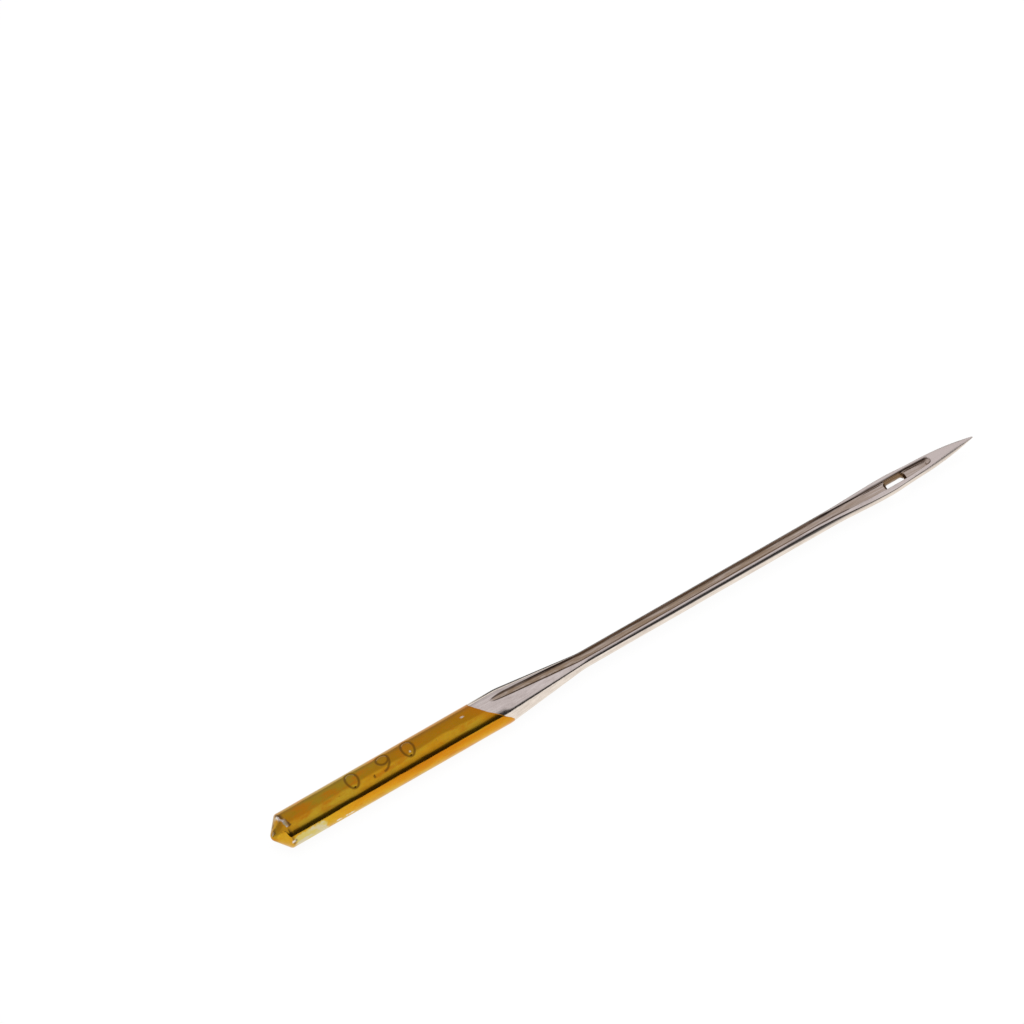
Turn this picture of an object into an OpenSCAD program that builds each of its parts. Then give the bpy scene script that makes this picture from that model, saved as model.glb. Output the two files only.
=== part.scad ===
// Needle of a sewing machine, with a round shank.
// It lies along X with its butt at -X and its point at +X.
// It rests on z = 0 on its shank, with the long groove upwards, and the origin is below its middle.

/* [Shank] */
// Diameter of the shank, over its lacquer
shank_d = 2.0; // [1.6:0.01:2.5]
// Length from the end of the butt to the top of the shoulder
shank_len = 14; // [10:0.05:18]
// Full angle of the cone that closes the butt
butt_angle = 98; // [70:1:120]
// Rounding of the cone's apex
butt_nose_r = 0.33; // [0.1:0.01:0.4]
// Rounding of the edge between the cone and the shank
butt_edge_r = 0.2; // [0.03:0.01:0.3]

/* [Shoulder] */
// Length of the taper from the shank down to the blade
shoulder_len = 4.7; // [2:0.1:7]
// Rounding where the shank turns into the taper
shoulder_r = 4; // [1:0.5:8]
// Hollow rounding where the taper meets the blade
neck_r = 6; // [1:0.5:12]

/* [Blade] */
// Diameter of the blade
blade_d = 0.89; // [0.8:0.01:1.1]
// Length from the end of the butt to the top of the eye
butt_to_eye = 37.25; // [33:0.05:42]

/* [Eye] */
// Length of the eye along the blade
eye_len = 1.04; // [0.8:0.02:1.8]
// Width of the eye
eye_w = 0.55; // [0.38:0.01:0.58]
// Rounding of the eye's corners
eye_corner_r = 0.17; // [0.05:0.01:0.18]
// Length of the slope that leads the thread in at each end of the eye
eye_lead = 0.14; // [0.05:0.01:0.2]
// Width of the blade where it bulges round the eye
bulge_w = 1.14; // [1.1:0.01:1.4]
// Length over which the blade widens to the bulge
bulge_len = 3.6; // [2:0.1:6]
// Height of the pressed front face above the axis, at the eye
front_h = 0.15; // [0.12:0.01:0.3]
// Depth of the pressed back face below the axis, at the eye
back_h = 0.37; // [0.34:0.01:0.44]
// Radius along the blade of the two pressed faces
press_r = 45; // [25:1:80]

/* [Long groove] */
// Width of the thread groove along the blade
groove_w = 0.5; // [0.3:0.01:0.6]
// Depth of the thread groove below the top of the blade
groove_depth = 0.31; // [0.15:0.01:0.36]
// Length of the groove's run-out on the shank, above the shoulder
groove_runout = 0.65; // [0.05:0.05:0.8]
// Width of the flat-floored recess at the eye
recess_w = 0.55; // [0.52:0.01:0.8]
// Length over which the groove widens into the recess
recess_flare_len = 3.4; // [1.5:0.1:6]
// Length of the recess past the eye
recess_tail = 1.63; // [0.9:0.01:1.8]
// Width of the round end of that recess
recess_end_w = 0.42; // [0.36:0.01:0.5]
// Height of the recess floor above the axis
recess_floor_h = 0.02; // [-0.05:0.01:0.08]
// Radius of the round dimple that ends the recess
dimple_r = 0.17; // [0.1:0.01:0.18]
// Depth of that dimple below the recess floor
dimple_depth = 0.06; // [0.02:0.01:0.1]

/* [Back] */
// Length of the scarf, the hollow above the eye where the hook passes
scarf_len = 3; // [2:0.1:5]
// Depth of the scarf below the round of the blade
scarf_depth = 0.17; // [0.05:0.01:0.25]
// Width of the short groove on the back
short_groove_w = 0.34; // [0.2:0.01:0.4]
// Depth of the short groove below the pressed back face
short_groove_depth = 0.12; // [0.05:0.01:0.15]
// How far the short groove reaches past each end of the eye
short_groove_reach = 0.7; // [0.3:0.05:1]

/* [Point] */
// Length from the bottom of the eye to the tip
point_len = 4.21; // [3:0.01:7]
// Width of the point where its slim taper starts
point_root_w = 0.94; // [0.8:0.01:1]
// Distance of that start from the bottom of the eye
point_root_at = 0.75; // [0.5:0.05:1.2]
// How far the taper's outline bows out from a straight line
point_bow = 0.08; // [0:0.005:0.1]
// Radius of the tip
tip_r = 0.04; // [0.02:0.005:0.06]

/* [Lacquer] */
// Thickness of the lacquer film
coat_thick = 0.012; // [0.006:0.001:0.03]
// Length of the dipped end, measured on the axis
coat_len = 13.4; // [8:0.1:15]
// Slope of the lacquer's edge from square across the shank
coat_slope = 46.5; // [0:0.5:50]
// Turn about the axis of the side on which the lacquer's edge falls back
coat_turn = 50; // [0:1:360]

/* [Hidden] */
$fn = 96;
arc_steps = 8;
curve_steps = 16;
press_fn = 720;
groove_overrun = 1.2;
eps = 0.01;

shank_r = shank_d / 2 - coat_thick;
blade_r = blade_d / 2;
bulge_r = bulge_w / 2;
point_root_r = point_root_w / 2;

// Stations along the needle, from the end of the butt
shoulder_end = shank_len + shoulder_len;
bulge_start = butt_to_eye - bulge_len;
flare_start = butt_to_eye - recess_flare_len;
eye_mid = butt_to_eye + eye_len / 2;
eye_end = butt_to_eye + eye_len;
point_root = eye_end + point_root_at;
recess_end = eye_end + recess_tail;
total_len = eye_end + point_len;

// Cone of the butt: where its flanks would meet, and the centre of the edge's rounding
half_butt = butt_angle / 2;
butt_apex = butt_nose_r - butt_nose_r / sin(half_butt);
butt_edge = butt_apex + (butt_edge_r + (shank_r - butt_edge_r) * cos(half_butt)) / sin(half_butt);

// Slopes of the taper and of the groove's floor
shoulder_angle = atan((shank_r - blade_r) / shoulder_len);
groove_floor_h = blade_r - groove_depth;
groove_climb = [shoulder_len + groove_runout, shank_r - groove_floor_h];
flare_slope = atan((groove_floor_h - recess_floor_h) / recess_flare_len);
lead_reach = 2 * eye_lead;

// Hollows of the back
scarf_r = (pow(scarf_len / 2, 2) + pow(scarf_depth, 2)) / (2 * scarf_depth);
short_groove_h = back_h - short_groove_depth + short_groove_w / 2;

// Points of an arc about c, from angle a to angle b
function arc(c, r, a, b) =
    [for (i = [0 : arc_steps]) let (t = a + (b - a) * i / arc_steps) c + r * [cos(t), sin(t)]];

// Points after p of a curve to q that starts level and ends at a slope
function flowing_curve(p, q, slope) =
    [for (i = [1 : curve_steps]) let (t = i / curve_steps, run = q[0] - p[0])
        [p[0] + run * t, p[1] + (q[1] - p[1]) * t * t * (3 - 2 * t) + slope * run * t * t * (t - 1)]];

// Points between p and q of a line that bows out by bow
function bowed_line(p, q, bow) =
    [for (i = [1 : curve_steps - 1]) let (t = i / curve_steps) p + (q - p) * t + [0, 4 * bow * t * (1 - t)]];

// Half outline of the butt, the shank and the shoulder's top, grown by the film's thickness
function thick_end(grow) = concat(
    arc([butt_nose_r, 0], butt_nose_r - coat_thick + grow, 180, 90 + half_butt),
    arc([butt_edge, shank_r - butt_edge_r], butt_edge_r + grow, 90 + half_butt, 90),
    arc([shank_len - shoulder_r * tan(shoulder_angle / 2), shank_r - shoulder_r], shoulder_r + grow,
        90, 90 - shoulder_angle));

// Half outline of the blade, the bulge and the point
bulge_top = [butt_to_eye, bulge_r];
taper_start = [point_root, point_root_r];
taper_end = [total_len - tip_r, tip_r];
taper_slope = (taper_end[1] - taper_start[1] + 4 * point_bow) / (taper_end[0] - taper_start[0]);
thin_end = concat(
    arc([shoulder_end + neck_r * tan(shoulder_angle / 2), blade_r + neck_r], neck_r,
        270 - shoulder_angle, 270),
    [[bulge_start, blade_r]],
    flowing_curve([bulge_start, blade_r], bulge_top, 0),
    flowing_curve(bulge_top, taper_start, taper_slope),
    bowed_line(taper_start, taper_end, point_bow),
    arc([total_len - tip_r, 0], tip_r, 90, 0));

// Turned shape about the X axis, from a half outline
module turned(half_outline) {
    rotate([0, 90, 0])
        rotate_extrude()
            polygon([for (p = half_outline) [p[1], p[0]]]);
}

// Everything on the butt's side of the lacquer's slanted edge
module dipped_side() {
    translate([coat_len, 0, 0])
        rotate([coat_turn, 0, 0])
            rotate([0, 0, coat_slope])
                translate([-coat_len, 0, 0])
                    cube(2 * [coat_len, 2 * coat_len, shank_d], center = true);
}

// The lacquer, with the steel that it covers
module coated_end() {
    color("darkgoldenrod")
        intersection() {
            turned(concat(thick_end(coat_thick), [[shoulder_end, blade_r + coat_thick], [shoulder_end, 0]]));
            dipped_side();
        }
}

// Round bar across the needle, with its near side at height h, above the axis or below it
module cross_bar(x, h, r) {
    translate([x, 0, h + sign(h) * r])
        rotate([90, 0, 0])
            cylinder(h = 2 * shank_d, r = r, center = true, $fn = press_fn);
}

// Round-bottomed cutter from one floor point to another, each as distance and height
module groove_cutter(from, to) {
    run = to - from;
    reach = norm(run);
    translate([from[0], 0, from[1] + groove_w / 2])
        rotate([0, -atan2(run[1], run[0]), 0]) {
            rotate([0, 90, 0])
                cylinder(h = reach, d = groove_w);
            translate([0, -groove_w / 2, 0])
                cube([reach, groove_w, shank_d]);
            sphere(d = groove_w);
        }
}

// Thread groove from its run-out on the shank to the recess at the eye
module long_groove() {
    foot = [shoulder_end, groove_floor_h];
    groove_cutter(foot, [flare_start + groove_w, groove_floor_h]);
    mirror([1, 0, 0])
        translate([-2 * shoulder_end, 0, 0])
            groove_cutter(foot, foot + groove_overrun * groove_climb);
}

// Flared end of the groove, whose flat floor slopes down to the eye
module groove_flare() {
    flare_len = recess_flare_len / cos(flare_slope) + eps;
    translate([flare_start, 0, groove_floor_h])
        rotate([0, flare_slope, 0])
            linear_extrude(shank_d)
                polygon([[0, -groove_w / 2], [flare_len - lead_reach, -recess_w / 2],
                    [flare_len, -recess_w / 2], [flare_len, recess_w / 2],
                    [flare_len - lead_reach, recess_w / 2], [0, groove_w / 2]]);
}

// Flat-floored recess along the eye, narrowing to a round end with a dimple
module recess() {
    end_r = recess_end_w / 2;
    end_mid = recess_end - end_r;
    translate([0, 0, recess_floor_h])
        linear_extrude(shank_d) {
            polygon([[butt_to_eye, -recess_w / 2], [eye_end + lead_reach, -recess_w / 2], [end_mid, -end_r],
                [end_mid, end_r], [eye_end + lead_reach, recess_w / 2], [butt_to_eye, recess_w / 2]]);
            translate([end_mid, 0])
                circle(r = end_r);
        }
    translate([recess_end - dimple_r, 0, recess_floor_h - dimple_depth + dimple_r])
        sphere(r = dimple_r);
}

// Hole for the thread, with round corners
module eye() {
    inner_len = eye_len - 2 * eye_corner_r;
    inner_w = eye_w - 2 * eye_corner_r;
    translate([eye_mid, 0, -shank_d])
        linear_extrude(2 * shank_d) {
            square([eye_len, inner_w], center = true);
            square([inner_len, eye_w], center = true);
            for (sx = [-1, 1], sy = [-1, 1])
                translate([sx * inner_len / 2, sy * inner_w / 2])
                    circle(r = eye_corner_r);
        }
}

// Slopes in the recess floor that lead the thread into both ends of the eye
module eye_leads() {
    for (side = [0, 1])
        translate([eye_mid, 0, recess_floor_h])
            mirror([side, 0, 0])
                translate([eye_len / 2, eye_w / 2, 0])
                    rotate([90, 0, 0])
                        linear_extrude(eye_w)
                            polygon(eye_lead * [[-1, -2], [2, 1], [-1, 1]]);
}

// Round-ended groove on the back, on both sides of the eye
module short_groove() {
    start = butt_to_eye - short_groove_reach;
    end = eye_end + short_groove_reach;
    translate([start, 0, -short_groove_h])
        rotate([0, 90, 0])
            cylinder(h = end - start, d = short_groove_w);
    for (x = [start, end])
        translate([x, 0, -short_groove_h])
            sphere(d = short_groove_w);
}

// Hollow above the eye, on the back
module scarf() {
    cross_bar(butt_to_eye - scarf_len / 2, scarf_depth - blade_r, scarf_r);
}

// The needle as it is turned and dipped, before its grooves and its eye are formed
module blank() {
    color("silver")
        turned(concat(thick_end(0), thin_end));
    coated_end();
}

module needle() {
    translate([-total_len / 2, 0, shank_d / 2])
        difference() {
            blank();
            cross_bar(eye_mid, front_h, press_r);
            cross_bar(eye_mid, -back_h, press_r);
            long_groove();
            groove_flare();
            recess();
            eye();
            eye_leads();
            scarf();
            short_groove();
        }
}

needle();
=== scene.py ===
import math
import bpy
import bmesh
import numpy as np
from mathutils import Matrix, Vector


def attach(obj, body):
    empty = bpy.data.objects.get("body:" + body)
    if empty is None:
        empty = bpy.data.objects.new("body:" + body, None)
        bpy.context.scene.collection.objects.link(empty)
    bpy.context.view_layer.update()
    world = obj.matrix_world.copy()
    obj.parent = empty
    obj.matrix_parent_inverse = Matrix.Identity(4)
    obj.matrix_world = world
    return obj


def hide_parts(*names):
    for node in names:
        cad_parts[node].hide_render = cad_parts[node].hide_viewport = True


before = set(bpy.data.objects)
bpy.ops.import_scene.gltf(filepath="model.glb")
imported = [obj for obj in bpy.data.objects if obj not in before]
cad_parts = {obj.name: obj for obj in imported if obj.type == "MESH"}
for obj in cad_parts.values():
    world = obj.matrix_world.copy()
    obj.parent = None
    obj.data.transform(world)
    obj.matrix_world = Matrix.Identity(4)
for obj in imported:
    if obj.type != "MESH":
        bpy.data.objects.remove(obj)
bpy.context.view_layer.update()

mm = 0.001  # every length below is in millimetres until it goes into a mesh

# Where the needle lies: distances run from the butt end, heights from its axis
lie = {"middle": 21.25, "axisHeight": 1.0}


# Small helpers for fields in a node tree

class Field:
    # a socket that can be added, multiplied and so on
    def __init__(self, tree, socket):
        self.tree = tree
        self.socket = socket

    def __add__(self, other):
        return calc("ADD", self, other)

    __radd__ = __add__

    def __sub__(self, other):
        return calc("SUBTRACT", self, other)

    def __rsub__(self, other):
        return calc("SUBTRACT", other, self)

    def __mul__(self, other):
        return calc("MULTIPLY", self, other)

    __rmul__ = __mul__

    def __truediv__(self, other):
        return calc("DIVIDE", self, other)


def plug(tree, socket, value):
    if isinstance(value, Field):
        tree.links.new(value.socket, socket)
    elif isinstance(value, bpy.types.NodeSocket):
        tree.links.new(value, socket)
    else:
        socket.default_value = value


def calc(operation, first, second=None, third=None):
    tree = next(v.tree for v in (first, second, third) if isinstance(v, Field))
    node = tree.nodes.new("ShaderNodeMath")
    node.operation = operation
    for socket, value in zip(node.inputs, (first, second, third)):
        if value is not None:
            plug(tree, socket, value)
    return Field(tree, node.outputs[0])


def least(first, second, soft=0.0):
    return calc("SMOOTH_MIN", first, second, soft) if soft else calc("MINIMUM", first, second)


def most(first, second, soft=0.0):
    return calc("SMOOTH_MAX", first, second, soft) if soft else calc("MAXIMUM", first, second)


def root(value):
    return calc("SQRT", most(value, 0.0))


def arc(radius, run):
    # height of a circle's edge over its middle, this far along
    return root(radius * radius - run * run)


def ramp(value, start, end, smooth=False):
    tree = value.tree
    node = tree.nodes.new("ShaderNodeMapRange")
    node.interpolation_type = "SMOOTHSTEP" if smooth else "LINEAR"
    plug(tree, node.inputs["Value"], value)
    plug(tree, node.inputs["From Min"], start)
    plug(tree, node.inputs["From Max"], end)
    return Field(tree, node.outputs["Result"])


def window(value, rise, fall, smooth=False):
    # goes up from 0 to 1 over rise, and back down over fall
    return ramp(value, *rise, smooth) * (1.0 - ramp(value, *fall, smooth))


def blend(first, second, amount):
    return first + (second - first) * amount


def splitVector(tree, vector):
    split = tree.nodes.new("ShaderNodeSeparateXYZ")
    plug(tree, split.inputs[0], vector)
    return [Field(tree, s) for s in split.outputs]


def joinVector(tree, x, y, z):
    node = tree.nodes.new("ShaderNodeCombineXYZ")
    for socket, value in zip(node.inputs, (x, y, z)):
        plug(tree, socket, value)
    return Field(tree, node.outputs[0])


def noise(tree, place, scale, detail=3.0, rough=0.5, seed=None):
    node = tree.nodes.new("ShaderNodeTexNoise")
    if seed is not None:
        node.noise_dimensions = "4D"
        node.inputs["W"].default_value = seed
    plug(tree, node.inputs["Vector"], place)
    plug(tree, node.inputs["Scale"], scale)
    node.inputs["Detail"].default_value = detail
    node.inputs["Roughness"].default_value = rough
    return Field(tree, node.outputs[0])


def newTree(name, sizes):
    tree = bpy.data.node_groups.new(name, "GeometryNodeTree")
    tree.interface.new_socket("Geometry", in_out="INPUT", socket_type="NodeSocketGeometry")
    tree.interface.new_socket("Geometry", in_out="OUTPUT", socket_type="NodeSocketGeometry")
    for label, value in sizes.items():
        kind = "NodeSocketFloat"
        if isinstance(value, bpy.types.Material):
            kind = "NodeSocketMaterial"
        if isinstance(value, bpy.types.Object):
            kind = "NodeSocketObject"
        tree.interface.new_socket(label, in_out="INPUT", socket_type=kind)
    start = tree.nodes.new("NodeGroupInput")
    position = tree.nodes.new("GeometryNodeInputPosition")
    fields = {label: Field(tree, start.outputs[label]) for label in sizes}
    return tree, start.outputs["Geometry"], fields, splitVector(tree, position.outputs[0])


def finishTree(tree, geometry, masks, position, material):
    # keep the masks, put every point in place, then realize and give the finish
    for name, value in masks.items():
        keep = tree.nodes.new("GeometryNodeStoreNamedAttribute")
        keep.data_type = "FLOAT"
        keep.domain = "POINT"
        keep.inputs["Name"].default_value = name
        tree.links.new(geometry, keep.inputs["Geometry"])
        plug(tree, keep.inputs["Value"], value)
        geometry = keep.outputs["Geometry"]
    move = tree.nodes.new("GeometryNodeSetPosition")
    tree.links.new(geometry, move.inputs["Geometry"])
    plug(tree, move.inputs["Position"], position)
    whole = tree.nodes.new("GeometryNodeRealizeInstances")
    tree.links.new(move.outputs[0], whole.inputs[0])
    finish = tree.nodes.new("GeometryNodeSetMaterial")
    tree.links.new(whole.outputs[0], finish.inputs["Geometry"])
    plug(tree, finish.inputs["Material"], material)
    end = tree.nodes.new("NodeGroupOutput")
    tree.links.new(finish.outputs[0], end.inputs[0])


def shapeByTree(flat, tree, sizes):
    # runs a tree on a flat layout and returns the plain mesh
    modifier = flat.modifiers.new("shape", "NODES")
    modifier.node_group = tree
    for item in tree.interface.items_tree:
        if item.in_out == "INPUT" and item.name in sizes:
            modifier[item.identifier] = sizes[item.name]
    flat.update_tag()
    bpy.context.view_layer.update()
    seen = flat.evaluated_get(bpy.context.evaluated_depsgraph_get())
    mesh = bpy.data.meshes.new_from_object(seen)
    flat.modifiers.remove(modifier)
    return mesh


def addObject(name, mesh):
    piece = bpy.data.objects.new(name, mesh)
    bpy.context.scene.collection.objects.link(piece)
    return piece


def layOut(name, stations, lanes, startPole, endPole):
    # flat layout: a point on each lane of each station, as (distance, radius, lane), closed round the lanes and
    # by a pole at each end
    count = len(lanes)
    base = (len(stations) - 1) * count
    points = [(x, r, lane) for x, r in stations for lane in lanes]
    startTip, endTip = len(points), len(points) + 1
    points += [(startPole, 0.0, 0.0), (endPole, 0.0, 0.0)]
    faces = []
    for i in range(0, base, count):
        for j in range(count):
            k = (j + 1) % count
            faces.append((i + j, i + k, i + count + k, i + count + j))
    faces += [(startTip, (j + 1) % count, j) for j in range(count)]
    faces += [(endTip, base + j, base + (j + 1) % count) for j in range(count)]
    mesh = bpy.data.meshes.new(name)
    mesh.from_pydata(points, [], faces)
    return addObject(name, mesh)


def spaced(table, end):
    # evenly spaced distances over each stretch of a table of (start, spacing)
    places = []
    stops = [row[0] for row in table[1:]] + [end]
    for (start, size), stop in zip(table, stops):
        count = max(1, round((stop - start) / size))
        places += [start + (stop - start) * i / count for i in range(count)]
    return places


def facesOutward(mesh):
    # turns all faces the same way, and the whole shell if its volume comes out negative
    work = bmesh.new()
    work.from_mesh(mesh)
    bmesh.ops.recalc_face_normals(work, faces=work.faces[:])
    if work.calc_volume(signed=True) < 0:
        bmesh.ops.reverse_faces(work, faces=work.faces[:])
    work.to_mesh(mesh)
    work.free()


def shadeSmooth(mesh):
    mesh.polygons.foreach_set("use_smooth", [True] * len(mesh.polygons))
    mesh.update()


# Steel: the turned outline and what is pressed into it

steel = {
    "shankRadius": 0.988, "shankLength": 14.0, "shoulderLength": 4.7,
    "shoulderRounding": 4.0, "neckRounding": 6.0,
    "buttAngle": 98.0, "buttNose": 0.33, "buttEdge": 0.2, "noseSink": 0.012,
    "bladeRadius": 0.445, "bulgeRadius": 0.57, "bulgeStart": 33.65,
    # the shank's seat under the stamped number, hidden by the lacquer
    "seatStart": 4.1, "seatEnd": 9.9, "seatRadius": 0.95, "seatSlope": 0.1,
    "eyeStart": 37.25, "eyeLength": 1.04, "eyeWidth": 0.53, "eyeCorner": 0.17,
    "eyeLead": 0.14, "leadFade": 0.42,
    "pointRoot": 39.04, "pointRootRadius": 0.47, "pointBow": 0.08,
    "tip": 42.5, "tipRadius": 0.04,
}

pressed = {
    "Groove Width": 0.5, "Groove Floor": 0.135, "Groove Foot": 18.7, "Groove Climb": 0.15944,
    "Foot Softness": 0.08, "Flare Start": 33.85, "Recess Start": 37.25, "Recess Width": 0.55,
    "Recess Floor": 0.02, "Recess Corner": 0.01, "Flat Lead": 0.6,
    "Tail Start": 38.57, "Tail Middle": 39.71, "Tail Width": 0.42, "Tail Steepness": 12.0,
    "Dimple Middle": 39.75, "Dimple Radius": 0.17, "Dimple Floor": -0.04,
    "Press Middle": 37.77, "Press Radius": 45.0, "Front Height": 0.15, "Back Height": 0.37,
    "Scarf Middle": 35.75, "Scarf Radius": 6.703, "Scarf Height": 0.275,
    "Short Groove Start": 36.55, "Short Groove End": 38.99, "Short Groove Radius": 0.17,
    "Short Groove Floor": 0.25, "Rim Rounding": 0.03, "Press Rounding": 0.15,
    "Scarf Softness": 0.02, "Dimple Softness": 0.02, "Short Groove Softness": 0.012, "Cutter Steepness": 60.0,
    "Widest Share": 0.62, "Least Rim": 0.05, "Rim Softness": 0.04,
    "Back Flat": 0.31, "Eye Flat": 0.28, "Eye Flat Share": 0.56,
    # where the finish changes, and where the painted shade in the groove starts to lighten
    "Grind Start": 38.9, "Grind Fade": 0.7, "Shade Fade": 29.5,
    "Middle": lie["middle"], "Axis Height": lie["axisHeight"],
}

# the masks of the groove's walls: distances where the blade's share comes and goes, and lanes of the painted shade
# line up the walls
wallShading = {"bladeRise": (17.2, 19.6), "bladeFall": (32.6, 33.8), "shoulderShadeLane": 0.75, "bladeShadeLane": 1.15,
             "recessShadeLane": 1.35, "shadeRise": 0.3, "shadeFall": (1.8, 2.0), "farWallShade": 0.2, "lighter": 0.38}

# distance from the butt and spacing of the stations from there on, finer where the shape changes
eyeEnd = steel["eyeStart"] + steel["eyeLength"]
taperEnd = steel["tip"] - steel["tipRadius"]
steelSpacing = ((11.5, 0.15), (13.3, 0.05), (14.6, 0.11), (19.0, 0.36), (33.4, 0.09), (36.4, 0.035),
                (steel["eyeStart"], 0.04), (eyeEnd, 0.03), (40.1, 0.08), (42.2, 0.03))


def buttOutline(s, grow, count):
    # half outline of the butt, from beside the nose to the start of the straight shank
    half = math.radians(s["buttAngle"] / 2)
    apex = s["buttNose"] - s["buttNose"] / math.sin(half)
    edgeR = s["shankRadius"] - s["buttEdge"]
    edgeX = apex + (s["buttEdge"] + edgeR * math.cos(half)) / math.sin(half)
    noseBend = s["buttNose"] + grow - s["noseSink"]
    edgeBend = s["buttEdge"] + grow
    turns = [math.pi - (math.pi / 2 - half) * i / count for i in range(1, count + 1)]
    nose = [(s["buttNose"] + noseBend * math.cos(t), noseBend * math.sin(t)) for t in turns]
    turns = [math.pi / 2 + half - half * i / count for i in range(count + 1)]
    edge = [(edgeX + edgeBend * math.cos(t), edgeR + edgeBend * math.sin(t)) for t in turns]
    (x0, r0), (x1, r1) = nose[-1], edge[0]
    shares = [i / count for i in range(1, count)]
    flank = [(x0 + (x1 - x0) * t, r0 + (r1 - r0) * t) for t in shares]
    return nose + flank + edge


def flowingRadius(x, x0, r0, x1, r1, slope):
    # starts level at x0 and ends at a slope at x1
    t = (x - x0) / (x1 - x0)
    return r0 + (r1 - r0) * t * t * (3 - 2 * t) + slope * (x1 - x0) * t * t * (t - 1)


def steelRadius(s, x):
    shank, blade, bulge = s["shankRadius"], s["bladeRadius"], s["bulgeRadius"]
    bend, neck = s["shoulderRounding"], s["neckRounding"]
    angle = math.atan((shank - blade) / s["shoulderLength"])
    bendStart = s["shankLength"] - bend * math.tan(angle / 2)
    bendEnd = bendStart + bend * math.sin(angle)
    neckEnd = s["shankLength"] + s["shoulderLength"] + neck * math.tan(angle / 2)
    neckStart = neckEnd - neck * math.sin(angle)
    if s["seatStart"] <= x <= s["seatEnd"]:
        return s["seatRadius"]
    if x < bendStart:
        return shank
    if x < bendEnd:
        return shank - bend + math.sqrt(bend ** 2 - (x - bendStart) ** 2)
    if x < neckStart:
        return shank - (x - s["shankLength"]) * math.tan(angle)
    if x < neckEnd:
        return blade + neck - math.sqrt(neck ** 2 - (neckEnd - x) ** 2)
    if x < s["bulgeStart"]:
        return blade
    if x < s["eyeStart"]:
        return flowingRadius(x, s["bulgeStart"], blade, s["eyeStart"], bulge, 0)
    run = taperEnd - s["pointRoot"]
    slope = (s["tipRadius"] - s["pointRootRadius"] + 4 * s["pointBow"]) / run
    if x < s["pointRoot"]:
        return flowingRadius(x, s["eyeStart"], bulge, s["pointRoot"], s["pointRootRadius"], slope)
    t = (x - s["pointRoot"]) / run
    return s["pointRootRadius"] + (s["tipRadius"] - s["pointRootRadius"]) * t + 4 * s["pointBow"] * t * (1 - t)


def steelStations(s):
    places = [1.0, s["seatStart"] - s["seatSlope"], s["seatStart"], s["seatEnd"], s["seatEnd"] + s["seatSlope"]]
    places += spaced(steelSpacing, taperEnd)
    stations = buttOutline(s, 0.0, 4) + [(x, steelRadius(s, x)) for x in places]
    tipSteps = 6
    for i in range(tipSteps):
        t = math.pi / 2 * i / tipSteps
        stations.append((taperEnd + s["tipRadius"] * math.sin(t), s["tipRadius"] * math.cos(t)))
    return stations


# lanes round the needle: 0 is the groove's middle, 1 its floor's edge, 1.5 the end of the floor's corner, 1.75 the
# wall's top, 2 the end of the rounded rim, 3 the needle's side, 4 and 5 the flat of the back, 6 the back's middle
laneSteps = ((0, 1, 10), (1, 1.5, 4), (1.5, 1.75, 2), (1.75, 2, 4), (2, 3, 14), (3, 4, 14), (4, 5, 3), (5, 6, 10))
halfLanes = [a + (b - a) * i / n for a, b, n in laneSteps for i in range(n)] + [6.0]
ringLanes = halfLanes + [-a for a in halfLanes[-2:0:-1]]


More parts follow.
